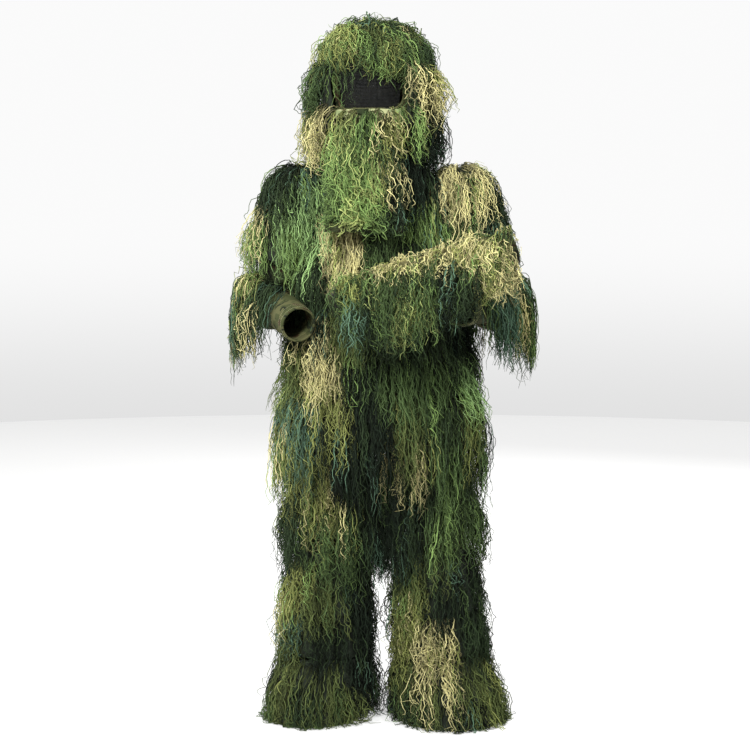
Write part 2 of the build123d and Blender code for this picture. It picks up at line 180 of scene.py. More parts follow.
def thread_material():
    """Dyed yarn with painted shade: the U coordinate picks the colour and its step of painted shade, and V runs
    from root to tip.
    """
    material, tree, shader = new_material("dyed_yarn_painted_shade", 0.85, 0.15)
    uv = tree.nodes.new("ShaderNodeUVMap")
    uv.uv_map = "OFBake"
    split = tree.nodes.new("ShaderNodeSeparateXYZ")
    tree.links.new(uv.outputs["UV"], split.inputs[0])
    u, v = split.outputs["X"], split.outputs["Y"]
    colour = ramp(tree, u, [(i / len(NAMES), PALETTE[name]) for i, name in enumerate(NAMES)])
    within = math_node(tree, "FRACT", math_node(tree, "MULTIPLY", u, float(len(NAMES))))
    # Painted shade: a low step darkens a thread that lies deep in its lock, and a high one lightens a thread
    # that stands out
    step = remap(tree, within, 0.0, 1.0, 0.16, 1.7)
    # Painted shade: every thread darkens towards its root, deep in the pile
    root = remap(tree, v, 0.0, 0.35, 0.15, 1.0)
    stretch = tree.nodes.new("ShaderNodeMapping")
    stretch.inputs["Scale"].default_value = (70.0, 5.0, 1.0)
    tree.links.new(uv.outputs["UV"], stretch.inputs["Vector"])
    dye = remap(tree, cloudy(tree, stretch.outputs[0], 1.0), 0.25, 0.75, 0.7, 1.3)
    factor = math_node(tree, "MULTIPLY", math_node(tree, "MULTIPLY", step, root), dye)
    tree.links.new(shade_colour(tree, colour, factor), shader.inputs["Base Color"])
    return material


def cloth_material(name, colours, scale=9.0):
    """Woven fabric printed with blotches in four colours. scale sets how many there are to a metre."""
    material, tree, shader = new_material(name, 0.9, 0.15)
    where = tree.nodes.new("ShaderNodeTexCoord").outputs["Object"]

    def blotch(size, shift, distortion):
        mapping = tree.nodes.new("ShaderNodeMapping")
        mapping.inputs["Location"].default_value = (shift, shift * 2, -shift)
        mapping.inputs["Scale"].default_value = (1.0, 1.0, 1.7)
        tree.links.new(where, mapping.inputs["Vector"])
        return cloudy(tree, mapping.outputs[0], size, distortion=distortion)

    base = ramp(tree, blotch(scale, 0.0, 0.6), [(0.0, colours[0]), (0.5, colours[1])])
    for i, (colour, limit) in enumerate(zip(colours[2:], (0.58, 0.62))):
        mask = math_node(tree, "GREATER_THAN", blotch(scale * (1.1 + 0.35 * i), 3.1 + 5 * i, 0.9), limit)
        mix = tree.nodes.new("ShaderNodeMix")
        mix.data_type = "RGBA"
        tree.links.new(mask, mix.inputs["Factor"])
        tree.links.new(base, mix.inputs["A"])
        mix.inputs["B"].default_value = (*colour, 1)
        base = mix.outputs["Result"]
    yarns = []
    for direction, distortion in (("Z", 0.6), ("X", 0.0)):
        yarn = tree.nodes.new("ShaderNodeTexWave")
        yarn.bands_direction = direction
        yarn.inputs["Scale"].default_value = 260.0
        yarn.inputs["Distortion"].default_value = distortion
        tree.links.new(where, yarn.inputs["Vector"])
        yarns.append(yarn.outputs["Fac"])
    height = math_node(tree, "ADD", *yarns)
    # Painted shade in the weave: the tone follows the yarns' height, lighter on their crests and darker in the
    # grooves
    tone = remap(tree, height, 0.0, 2.0, 0.75, 1.2)
    tree.links.new(shade_colour(tree, base, tone), shader.inputs["Base Color"])
    bump = tree.nodes.new("ShaderNodeBump")
    bump.inputs["Strength"].default_value = 0.35
    bump.inputs["Distance"].default_value = 0.0006
    tree.links.new(height, bump.inputs["Height"])
    tree.links.new(bump.outputs["Normal"], shader.inputs["Normal"])
    return material


def plain_material(name, colour, roughness, metallic=0.0):
    """One colour with slight wear or dye variation."""
    material, tree, shader = new_material(name, roughness)
    cloud = cloudy(tree, tree.nodes.new("ShaderNodeTexCoord").outputs["Object"], 55.0, 3.0)
    darker = tuple(0.72 * c for c in colour)
    lighter = tuple(min(1.0, 1.25 * c) for c in colour)
    tone = ramp(tree, cloud, [(0.35, darker), (0.65, lighter)], "LINEAR")
    tree.links.new(tone, shader.inputs["Base Color"])
    shader.inputs["Metallic"].default_value = metallic
    return material


YARN = thread_material()
CAMO = cloth_material(
    "woodland_camouflage",
    [(0.06, 0.07, 0.026), (0.104, 0.106, 0.044), (0.056, 0.038, 0.018), (0.016, 0.021, 0.01)],
    20.0,
)
# Painted shade: the same woodland camouflage painted darker, for the cloth lying in shade under the threads
SHADED_CAMO = cloth_material(
    "woodland_camouflage_painted_shade",
    [(0.026, 0.036, 0.014), (0.045, 0.052, 0.022), (0.03, 0.021, 0.01), (0.008, 0.01, 0.006)],
)
LIGHT_CAMO = cloth_material(
    "pale_camouflage", [(0.24, 0.29, 0.13), (0.36, 0.38, 0.19), (0.14, 0.17, 0.06), (0.1, 0.09, 0.04)], 26.0
)
NET = plain_material("black_net", (0.012, 0.013, 0.012), 0.7)
ELASTIC = plain_material("elastic", (0.03, 0.035, 0.022), 0.85)
SNAPS = plain_material("blackened_brass", (0.05, 0.05, 0.042), 0.4, 0.8)
# Painted shade: a near-black sheet under the threads, standing for the shaded inside of the pile
SHADE_MATTING = plain_material("matted_yarn_painted_shade", (0.011, 0.017, 0.008), 0.95)
STITCH = plain_material("stitching", (0.3, 0.3, 0.16), 0.8)

# --- the skins that threads lie on ------------------------------------


def bvh_of(names):
    """One search tree over the rest meshes of some CAD nodes or pieces."""
    points, faces = [], []
    for name in names:
        mesh = nodes[name].data if name in nodes else bpy.data.objects[name].data
        start = len(points)
        points.extend(v.co.copy() for v in mesh.vertices)
        faces.extend([start + i for i in p.vertices] for p in mesh.polygons)
    return BVHTree.FromPolygons(points, faces)


class Skin:
    """A fabric surface and the line it is wrapped round, so that every point knows which way is out."""

    def __init__(self, names, core, reach):
        self.tree = bvh_of(names)
        self.core = core
        self.reach = reach

    def radius(self, centre, out):
        hit = self.tree.ray_cast(centre + out * self.reach, -out, self.reach)
        return (hit[0] - centre).dot(out) if hit[0] is not None else 0.0

    def place(self, centre, out):
        return centre + out * (self.radius(centre, out) + 0.001)


def upright(*points):
    """Out is level, away from a line through points listed from the top down."""

    def core(p):
        for upper, lower in zip(points, points[1:]):
            if p.z >= lower.z or lower is points[-1]:
                t = (upper.z - p.z) / (upper.z - lower.z)
                centre = upper.lerp(lower, min(max(t, -0.5), 1.6))
                centre.z = p.z
                break
        out = p - centre
        return centre, unit(out, (0, -1, 0))

    return core


def along(a, b):
    """Out is square to a line."""
    way = (b - a).normalized()

    def core(p):
        centre = a + way * (p - a).dot(way)
        out = p - centre
        return centre, unit(out, (0, 0, 1))

    return core


def over(a, b, height):
    """Out is away from the line a to b above a height, and level below it."""

    def core(p):
        t = min(max((p.x - a.x) / (b.x - a.x), 0.0), 1.0)
        centre = a.lerp(b, t)
        if p.z < height:
            centre.z = p.z
        out = p - centre
        return centre, unit(out, (0, 0, 1))

    return core


def dome(centre_of_crown, neck):
    """Out is away from the crown's centre above it, and level below it."""
    level = upright(centre_of_crown, neck)

    def core(p):
        if p.z < centre_of_crown.z:
            return level(p)
        out = p - centre_of_crown
        return centre_of_crown.copy(), out.normalized()

    return core


def split_long_edges(work, longest):
    """Cuts every edge of a bmesh until none is longer."""
    for _ in range(8):
        long_edges = [e for e in work.edges if e.calc_length() > longest]
        if not long_edges:
            break
        bmesh.ops.subdivide_edges(work, edges=long_edges, cuts=1)
        bmesh.ops.triangulate(work, faces=[f for f in work.faces if len(f.verts) > 4])


def add_piece(name, work, material):
    """A smooth mesh object from a bmesh."""
    mesh = bpy.data.meshes.new(name)
    work.to_mesh(mesh)
    work.free()
    for polygon in mesh.polygons:
        polygon.use_smooth = True
    mesh.materials.append(material)
    return add_object(name, mesh)


def matting(node, body, skin, keep=0.55, lump=0.004, hang=1.0):
    """The dense inside of a row's pile: the row's own shape drawn in towards the cloth, lumpy, and painted near
    black as the shade deep in the pile.
    """
    work = bmesh.new()
    work.from_mesh(nodes[node].data)
    bmesh.ops.remove_doubles(work, verts=work.verts, dist=1e-6)
    split_long_edges(work, 0.026)
    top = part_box(node)[1].z
    for v in work.verts:
        v.co.z = top + (v.co.z - top) * hang
        centre, away = skin.core(v.co)
        cloth = skin.radius(centre, away)
        off = (v.co - centre).dot(away)
        rough = noise.noise(v.co * 38) * lump
        if off > cloth:
            v.co += away * (max(cloth + 0.001, cloth + (off - cloth) * keep + rough) - off)
        v.co.z = max(v.co.z, 0.0)
    made = add_piece(f"{node}_matting", work, SHADE_MATTING)
    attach(made, body)
    return made.name


DOWN = Vector((0, 0, -1))


def fall(skin, root, out, length, stand, rise=0.5, sway=0.16, fan=None, weight=0.34):
    """The line of one lock of threads: it stands out from its root and then hangs, kept outside the skin.

    stand is how far off the skin its tip stays, rise how steeply it starts, and weight how soon it hangs.
    """
    step = length / STEPS
    way = (out + Vector((0, 0, rise)) + Vector(rng.normal(0, sway, 3))).normalized()
    if fan is not None:
        way = (way + fan).normalized()
    p = root.copy()
    line = [p.copy()]
    for i in range(STEPS):
        t = (i + 1) / STEPS
        pull = weight + 0.3 * t
        way = (way * (1 - pull) + DOWN * pull + Vector(rng.normal(0, sway * 0.55, 3))).normalized()
        p = p + way * step
        centre, away = skin.core(p)
        least = 0.003 + (stand - 0.003) * min(1.0, t * 1.5)
        height = (p - centre).dot(away) - skin.radius(centre, away)
        if height < least:
            p = p + away * (least - height)
        line.append(p.copy())
    return line


# --- threads ----------------------------------------------------------

# How curly a colour's threads are, how far its bundles stand out, and the colours next to it
CRIMP = {"tan": 1.2, "lime": 1.2, "olive": 1.2, "green": 1.1, "black": 0.9}
PROUD = {"leaf": 1.3, "tan": 1.25, "lime": 1.25, "olive": 1.1, "green": 1.1, "dark": 0.8, "black": 0.6}
NEAR = {
    "black": ("dark", "teal"), "dark": ("black", "forest"), "forest": ("dark", "green"),
    "green": ("forest", "lime"), "leaf": ("green", "leaf"), "lime": ("green", "olive"),
    "olive": ("green", "tan"), "tan": ("olive", "tan"), "teal": ("dark", "forest"),
    "moss": ("forest", "olive"),
}
SIDE_REACH, FACE_REACH = 0.385, 0.325


def ease_in(lines):
    """Draws the threads that stand out farthest from the suit back towards it."""
    for axis, reach in ((0, SIDE_REACH), (1, FACE_REACH)):
        past = np.maximum(np.abs(lines[..., axis]) - reach, 0)
        lines[..., axis] -= np.sign(lines[..., axis]) * past * 0.5


def cut_to_length(lines):
    """Each thread follows its line as far as its own length reaches, in KINKS straight pieces."""
    cut = 1 - 0.45 * rng.random(len(lines)) ** 1.6
    at = ALONG[None] * cut[:, None] * (lines.shape[1] - 1)
    low = np.minimum(at.astype(int), lines.shape[1] - 2)
    part = (at - low)[..., None]
    rows = np.arange(len(lines))[:, None]
    return lines[rows, low] * (1 - part) + lines[rows, low + 1] * part


def curl_up(lines, outs, length, curl, crimps):
    """Winds each thread in wide turns and again in short ones. Both grow from its root to its tip."""
    total = len(lines)
    grow = (np.clip(ALONG * 4, 0, 1) * (0.6 + 1.7 * ALONG ** 2.5))[None, :, None]
    side = np.cross(outs, np.array([0, 0, 1.0]) + rng.normal(0, 0.2, (total, 3)))
    side /= np.linalg.norm(side, axis=1, keepdims=True) + 1e-9
    for scale, shortest, longest in ((0.85, 0.024, 0.07), (0.5, 0.015, 0.026)):
        turns = np.minimum(length / rng.uniform(shortest, longest, total), KINKS / 3)
        phase = rng.uniform(0, 2 * np.pi, (total, 1))
        angle = 2 * np.pi * turns[:, None] * ALONG[None] + phase
        size = curl * scale * crimps * rng.lognormal(-0.1, 0.45, (total, 1))
        sideways = (np.cos(angle) * size)[..., None] * side[:, None]
        outward = (np.sin(angle + rng.uniform(-0.6, 0.6, (total, 1))) * size * 0.8)[..., None] * outs[:, None]
        lines += (sideways + outward) * grow
        lines[..., 2:] += (np.cos(1.3 * angle) * size * 0.6)[..., None] * grow


class Pile:
    """The threads of one sewn row, collected as locks and made into one mesh."""

    def __init__(self):
        self.lines, self.colours, self.outs, self.depths, self.crimps = [], [], [], [], []

    def hank(self, skin, root, out, length, colour, stand, locks=7, wide=0.05, deep=0.012, **shape):
        """A bunch of locks of one colour sewn side by side."""
        side = out.cross(Vector((0, 0, 1)))
        side = side.normalized() if side.length > 0.2 else Vector((1, 0, 0))
        lift = side.cross(out).normalized()
        crimp = CRIMP.get(colour, 1.0) * rng.uniform(0.75, 1.3)
        stand *= PROUD.get(colour, 1.0) * rng.uniform(0.6, 1.4)
        for i in range(locks):
            across = (i + rng.uniform(0, 1)) / locks * 2 - 1
            start = root + side * (wide * across) + lift * (rng.uniform(-1, 1) * deep)
            centre, away = skin.core(start)
            if skin.radius(centre, away) < LEAST_RADIUS:
                continue
            start = skin.place(centre, away)
            depth = rng.uniform(0.1, 1.1)
            reach = length * rng.uniform(0.85, 1.12) * (1 - 0.12 * across * across)
            self.lines.append(fall(skin, start, away, reach, stand * depth, **shape))
            self.colours.append(stray(colour))
            self.outs.append(away)
            self.depths.append(depth)
            self.crimps.append(crimp)

    def mesh(self, name, per=7, width=0.00108, spread=0.0066, curl=0.0033, wild=0.08):
        """Threads follow their lock's line with curls of their own, and a few stand well out of it."""
        lines = np.array([[tuple(p) for p in line] for line in self.lines])
        count = max(1, round(per * SHARE))
        if SHARE < 1:
            width *= 1.5
        lines = cut_to_length(np.repeat(lines, count, axis=0))
        colours = np.repeat(np.array([NAMES.index(c) for c in self.colours]), count)
        outs = np.repeat(np.array([tuple(o) for o in self.outs]), count, axis=0)
        depths = np.repeat(np.array(self.depths), count)
        crimps = np.repeat(np.array(self.crimps), count)[:, None]
        total = len(lines)
        length = np.linalg.norm(np.diff(lines, axis=1), axis=2).sum(1)
        loose = (0.3 + np.sin(np.pi * (0.08 + 0.7 * ALONG)))[None, :, None]
        lines += rng.uniform(-1.7, 1.7, (total, 1, 3)) * spread * loose
        curl_up(lines, outs, length, curl, crimps)
        wander = np.cumsum(rng.normal(0, curl * 0.48, lines.shape), axis=1)
        lines += (wander - wander[:, :1]) * np.array([1, 1, 0.7])
        flying = (rng.random(total) < wild) & (depths > 0.5)
        lift = np.sin(np.pi * ALONG) * flying[:, None] * rng.uniform(0.004, 0.014, (total, 1))
        lines += lift[..., None] * (outs[:, None] + rng.normal(0, 0.5, (total, 1, 3)))
        ease_in(lines)
        lines[..., 2] = np.maximum(lines[..., 2], FLOOR_GAP + 0.004 * rng.random(lines.shape[:2]))
        # Painted shade: the deeper a thread lies in its lock the darker its step, with some random spread
        shade = np.clip(depths * 0.75 + rng.normal(0.05, 0.22, total), 0, 0.99)
        return tubes(name, lines, colours, width, (shade * PAINTED_SHADE_STEPS).astype(int))


def stray(colour):
    """Mostly the bundle's own colour, and now and then a near one."""
    return NEAR[colour][int(rng.integers(2))] if rng.random() < 0.2 else colour


def tubes(name, lines, colours, width, shade):
    """One mesh of three-sided tapered tubes."""
    total, points = lines.shape[:2]
    tangent = np.gradient(lines, axis=1)
    tangent /= np.linalg.norm(tangent, axis=2, keepdims=True) + 1e-9
    other = np.cross(tangent, np.array([0.83, 0.51, 0.12]))
    other /= np.linalg.norm(other, axis=2, keepdims=True) + 1e-9
    third = np.cross(tangent, other)
    taper = np.interp(np.linspace(0, 1, points), [0, 0.5, 0.93, 1], [1, 1, 0.75, 0.3])
    radius = width * rng.uniform(0.75, 1.2, (total, 1)) * taper[None]
    rings = []
    for side in range(3):
        a = 2 * math.pi * side / 3
        rings.append(lines + (other * math.cos(a) + third * math.sin(a)) * radius[..., None])
    verts = np.stack(rings, 2).reshape(-1, 3)
    base = (np.arange(total)[:, None, None] * points + np.arange(points - 1)[None, :, None]) * 3
    side = np.arange(3)
    a, b = base + side, base + (side + 1) % 3
    quads = np.stack([a, b, b + 3, a + 3], -1).reshape(-1, 4)
    v0 = np.linspace(0, 1, points)
    left = (colours + 0.08 + 0.84 * (shade + 0.1) / PAINTED_SHADE_STEPS) / len(NAMES)
    span = 0.84 * 0.8 / PAINTED_SHADE_STEPS / len(NAMES) / 3
    u = left[:, None, None] + side[None, None] * span + np.zeros((total, points - 1, 3))
    low = np.broadcast_to(v0[None, :-1, None], u.shape)
    high = np.broadcast_to(v0[None, 1:, None], u.shape)
    corners = ((u, low), (u + span, low), (u + span, high), (u, high))
    uv = np.stack([np.stack(corner, -1) for corner in corners], -2)
    first = np.arange(total)[:, None] * points * 3
    ends = np.concatenate([first + np.array([2, 1, 0]), first + (points - 1) * 3 + side], 0)
    end_u = np.repeat(np.tile(left, 2)[:, None], 3, 1)
    end_v = np.repeat(np.repeat([0.0, 1.0], total)[:, None], 3, 1)
    loops = np.concatenate([quads.ravel(), ends.ravel()])
    starts = np.concatenate([np.arange(len(quads)) * 4, quads.size + np.arange(len(ends)) * 3])
    uv = np.concatenate([uv.reshape(-1, 2), np.stack([end_u, end_v], -1).reshape(-1, 2)])
    mesh = bpy.data.meshes.new(name)
    mesh.vertices.add(len(verts))
    mesh.vertices.foreach_set("co", verts.astype(np.float32).ravel())
    mesh.loops.add(len(loops))
    mesh.loops.foreach_set("vertex_index", loops.astype(np.int32))
    mesh.polygons.add(len(starts))
    mesh.polygons.foreach_set("loop_start", starts.astype(np.int32))
    mesh.polygons.foreach_set("use_smooth", np.ones(len(starts), dtype=bool))
    layer = mesh.uv_layers.new(name="OFBake")
    layer.data.foreach_set("uv", uv.astype(np.float32).ravel())
    mesh.update(calc_edges=True)
    mesh.validate()
    mesh.materials.append(YARN)
    return add_object(name, mesh)


def finish(pile, name, body, **look):
    made = pile.mesh(name, **look)
    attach(made, body)
    return made


def finish_row(pile, node, body, **look):
    """The threads of a sewn row, which stand for its CAD node."""
    made = finish(pile, f"{node}_threads", body, **look)
    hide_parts(node)


def pick(weights):
    """A colour name at random."""
    names = list(weights)
    shares = np.array([weights[n] for n in names], float)
    return names[int(rng.choice(len(names), p=shares / shares.sum()))]


MIX = {
    "dark": 7, "black": 5, "forest": 4, "moss": 2, "green": 1.2,
    "olive": 0.7, "lime": 0.3, "tan": 0.3, "teal": 1.5,
}
UPPER_MIX = {
    "dark": 4, "forest": 4, "moss": 2, "green": 3, "olive": 1.5, "lime": 1, "tan": 1.3, "teal": 1.5, "black": 1,
}
# Leg threads: dark colours of their own, with more black and dark added as painted shade low on the suit
SHADED_LEG_MIX = {"dark": 8, "black": 10, "forest": 3, "moss": 2.5, "teal": 1, "olive": 0.5}

# Bundles whose place shows from the front: colour, across, height, half width, half height
PATCHES = [
    ("teal", -0.165, 1.395, 0.04, 0.05),
    ("tan", -0.215, 1.43, 0.03, 0.045),
    ("leaf", -0.182, 1.262, 0.056, 0.09),
    ("tan", -0.09, 1.235, 0.07, 0.1),
    ("forest", 0.005, 1.25, 0.04, 0.09),
    ("tan", 0.062, 1.262, 0.036, 0.07),
    ("green", 0.115, 1.26, 0.03, 0.06),
    ("tan", 0.195, 1.35, 0.048, 0.09),
    ("dark", 0.285, 1.36, 0.045, 0.1),
    ("green", 0.15, 1.34, 0.03, 0.09),
    ("olive", -0.32, 1.33, 0.05, 0.06),
    ("green", -0.335, 1.215, 0.055, 0.065),
    ("tan", -0.275, 1.235, 0.035, 0.06),
    ("dark", -0.24, 1.34, 0.045, 0.06),
    ("teal", 0.33, 1.25, 0.045, 0.08),
    # Painted shade: a black patch for the shadow under the left forearm and the wrap
    ("black", 0.184, 1.06, 0.08, 0.08),
    # Painted shade: a black patch for the shadow between the veil and the left shoulder
    ("black", 0.075, 1.34, 0.05, 0.08),
    ("dark", -0.21, 1.06, 0.06, 0.1),
    ("tan", -0.125, 0.93, 0.048, 0.07),
    ("olive", -0.125, 0.79, 0.05, 0.07),
    ("teal", -0.207, 0.765, 0.035, 0.06),
    ("olive", -0.254, 0.73, 0.03, 0.09),
    ("leaf", 0.17, 0.855, 0.035, 0.045),
    ("forest", 0.08, 0.86, 0.08, 0.07),
    ("black", -0.03, 0.8, 0.045, 0.12),
    ("moss", 0.205, 0.76, 0.05, 0.08),
    ("dark", 0.12, 0.79, 0.06, 0.06),
    ("olive", -0.19, 0.625, 0.048, 0.08),
    ("green", -0.112, 0.6, 0.04, 0.06),
    ("black", -0.036, 0.58, 0.035, 0.13),
    ("tan", 0.081, 0.65, 0.046, 0.07),
    ("forest", 0.165, 0.66, 0.045, 0.1),
    ("black", 0.047, 0.47, 0.05, 0.065),
    ("forest", 0.18, 0.49, 0.08, 0.07),
    ("moss", 0.11, 0.345, 0.046, 0.07),
    ("olive", 0.07, 0.215, 0.035, 0.06),
    ("tan", 0.136, 0.125, 0.032, 0.07),
    ("dark", 0.244, 0.25, 0.06, 0.13),
    ("moss", 0.244, 0.05, 0.05, 0.06),
    ("olive", -0.21, 0.325, 0.04, 0.12),
    ("forest", -0.133, 0.4, 0.045, 0.11),
    ("black", -0.055, 0.37, 0.04, 0.08),
    ("moss", -0.186, 0.136, 0.045, 0.09),
    ("black", -0.084, 0.19, 0.05, 0.08),
    ("dark", 0.3, 0.06, 0.06, 0.05),
]


def patch_at(p):
    """The colour of the patch that a bundle sewn at a point of the front belongs to, if there is one."""
    for colour, x, z, half_w, half_h in PATCHES:
        if ((p.x - x) / half_w) ** 2 + ((p.z - PATCH_DROP - z) / half_h) ** 2 < 1.0:
            return colour
    return None


def ring_row(
    node, body, skin, tops, length, mix, stand, hank=0.1, locks=7,
    angles=None, masked=True, drop=None, splay=None, **look,
):
    """Hanks sewn round a body part along one row, at several heights, wherever the CAD row is.

    tops are the heights, down from the row's top. drop is how far past the floor a hank may reach, and hanks
    that face the way of splay are longer and fan out along it.
    """
    mask = bvh_of([node])
    low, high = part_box(node)
    pile = Pile()
    colours = {}
    shift = rng.uniform(0, 1)
    tier = 3 if len(tops) % 3 == 0 else 2
    for row, top in enumerate(tops):
        z = high.z - top
        probe, _ = skin.core(Vector(((low.x + high.x) / 2, (low.y + high.y) / 2, z)))
        probe.z = z
        wide = (high.x - low.x) * 0.42
        around = 2 * math.pi * wide * 0.9
        count = max(4, round(around / hank))
        for i in range(count):
            angle = 2 * math.pi * (i + shift + 0.07 * row + 0.45 * (row // tier)) / count
            out = heading(angle)
            if angles is not None and not angles(angle):
                continue
            centre, out = skin.core(probe + out * wide)
            seen = centre.copy()
            if seen.z == z:
                seen.z = min(max(z, low.z + 0.02), high.z - 0.01)
            if masked and mask.ray_cast(seen + out * 0.5, -out, 0.5)[0] is None:
                continue
            root = skin.place(centre, out) + Vector((0, 0, rng.normal(0, 0.007)))
            cell = (row // tier, i)
            if cell not in colours:
                colours[cell] = pick(mix)
            colour = colours[cell] if rng.random() < 0.92 else pick(mix)
            if root.y < centre.y:
                colour = patch_at(root) or colour
            reach = length * rng.uniform(0.9, 1.1)
            fan = None
            if drop is not None:
                reach = min(reach, root.z + drop)
            if splay is not None and out.dot(splay) > 0.3:
                fan = splay * out.dot(splay)
                reach += 0.04
            pile.hank(skin, root, out, reach, colour, stand, locks, hank * 0.44, fan=fan, **SHAPE)
    finish_row(pile, node, body, **look)


FRIZZ = {"curl": 0.0042, "wild": 0.12}
SHAPE = {"rise": 0.25, "sway": 0.13, "weight": 0.42}
NECK = joint_at["hood_turn"]
HOOD_YAW = math.radians(-8)
MIDDLE = -0.005                 # X of the middle of the trunk
torso_axis = upright(*(Vector((x, NECK.y, z)) for x, z in ((NECK.x, 1.53), (MIDDLE, 1.38), (MIDDLE, 0.6))))
JACKET = ["jacket_back", "jacket_front_right", "jacket_front_left"]
TRUNK = JACKET + ["jacket_hem_band", "trouser_seat", "front_placket"]
LEGS = [f"{name}_{side}" for side in SIDES for name in ("thigh", "knee_gusset", "shin")]
body_cloth = Skin(TRUNK + ["hood_skirt"] + LEGS, torso_axis, 0.4)
ridge = over(Vector((-0.15, NECK.y, 1.3)), Vector((0.14, NECK.y, 1.3)), 1.3)
yoke = Skin(TRUNK + ["hood_skirt", "sleeve_upper_right", "sleeve_upper_left"], ridge, 0.4)

body_mats = [matting(f"torso_fringe_{row}", "suit", body_cloth) for row in range(1, 5)]
torso = Skin(TRUNK + ["hood_skirt"] + LEGS + body_mats, torso_axis, 0.4)

SKIRT_MIX = {"dark": 5, "forest": 4, "moss": 2, "black": 2, "teal": 2, "olive": 1}
ring_row("hood_skirt_fringe", "suit", yoke, (0.0, 0.02, 0.045), 0.2, SKIRT_MIX, 0.024, hank=0.07)
ring_row("yoke_fringe_front", "suit", yoke, (-0.03, 0.01, 0.05), 0.19, UPPER_MIX, 0.024)
ring_row("yoke_fringe_back", "suit", yoke, (-0.03, 0.01, 0.05), 0.19, UPPER_MIX, 0.024)
for row in range(1, 5):
    mix = UPPER_MIX if row < 2 else MIX
    tops, reach = ((0.0, 0.035, 0.07), 0.175) if row < 4 else ((0.0, 0.05, 0.105), 0.215)
    ring_row(f"torso_fringe_{row}", "suit", torso, tops, reach, mix, 0.03, locks=7 if row < 4 else 6)


def inseam(side, sign, leg):
    """More hanks down the inside of a thigh, which close the view between the legs."""
    hip = joint_at[f"hip_{side}"]
    pile = Pile()
    for z in (0.7, 0.66, 0.62, 0.57, 0.52, 0.47):
        for across in (-1.2, -0.6, 0.0, 0.6, 1.2):
            out = Vector((-sign * math.cos(across), math.sin(across), 0))
            centre, out = leg.core(Vector((hip.x, hip.y, z)) + out * 0.1)
            pile.hank(leg, leg.place(centre, out), out, 0.17, pick(SHADED_LEG_MIX), 0.016, 4, 0.03, **SHAPE)
    finish(pile, f"thigh_inseam_{side}_threads", f"upper_leg_{side}")


for side, sign in SIDES.items():
    hip, knee = joint_at[f"hip_{side}"], joint_at[f"knee_{side}"]
    low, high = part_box(f"shin_{side}")
    ankle = Vector((knee.x + (knee.x - hip.x) * 0.25, (low.y + high.y) / 2, low.z))
    axis = upright(hip, knee, ankle)
    tube = [f"thigh_{side}", f"knee_gusset_{side}", f"shin_{side}"]
    cloth = Skin(tube, axis, 0.2)
    lower = f"lower_leg_{side}"
    mats = [matting(f"thigh_fringe_{side}", f"upper_leg_{side}", cloth, 0.5)]
    mats += [matting(f"shin_fringe_{part}_{side}", lower, cloth, 0.42) for part in ("upper", "lower")]
    mats.append(matting(f"boot_fringe_{side}", lower, cloth, 0.82))
    leg = Skin(tube + mats, axis, 0.3)
    thigh_tops = (-0.02, 0.01, 0.04, 0.11, 0.14, 0.17)
    ring_row(f"thigh_fringe_{side}", f"upper_leg_{side}", leg, thigh_tops, 0.19, SHADED_LEG_MIX, 0.026, **FRIZZ)
    inseam(side, sign, leg)
    shin_tops = (-0.025, 0.01, 0.07, 0.105)
    ring_row(f"shin_fringe_upper_{side}", lower, leg, shin_tops, 0.16, SHADED_LEG_MIX, 0.013, **FRIZZ)
    ring_row(f"shin_fringe_lower_{side}", lower, leg, (-0.01, 0.025, 0.06), 0.165, SHADED_LEG_MIX, 0.015, **FRIZZ)
    boot_tops = (0.0, 0.04, 0.08, 0.12)
    over_toes = {"drop": 0.03, "splay": Vector((0.75 * sign, -0.65, 0))}
    ring_row(f"boot_fringe_{side}", lower, leg, boot_tops, 0.15, SHADED_LEG_MIX, 0.014, **over_toes, **FRIZZ)

# --- arms -------------------------------------------------------------

FOREARM_MIX = {
    "right": {"dark": 5, "forest": 4, "green": 3, "olive": 3, "tan": 2.2, "teal": 1, "lime": 1},
    "left": {"teal": 7, "forest": 4, "green": 3, "dark": 3, "tan": 1},
}
SPREAD_OUT = {"right": 0.45, "left": 0.15}


def wrist_at(side):
    low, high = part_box(f"cuff_{side}")
    return (low + high) / 2


def shoulder_cap(side, shoulder, elbow):
    """Hanks over the top of a shoulder, falling all round it."""
    centre = shoulder - Vector((0, 0, 0.02))
    cap = Skin([f"sleeve_upper_{side}"] + JACKET, dome(centre, elbow), 0.25)
    pile = Pile()
    for rise, count in ((0.5, 10), (0.9, 7), (1.3, 3)):
        for i in range(count):
            angle = 2 * math.pi * (i + 0.5) / count
            flat = heading(angle)
            out = flat * math.cos(rise) + Vector((0, 0, math.sin(rise)))
            root = cap.place(centre, out)
            colour = patch_at(root) if root.y < centre.y else None
            colour = colour or pick(UPPER_MIX)
            pile.hank(cap, root, out, 0.13, colour, 0.014, 5, 0.028, rise=0.1, sway=0.2, fan=flat * 0.5)
    finish(pile, f"shoulder_cap_{side}_threads", f"upper_arm_{side}")


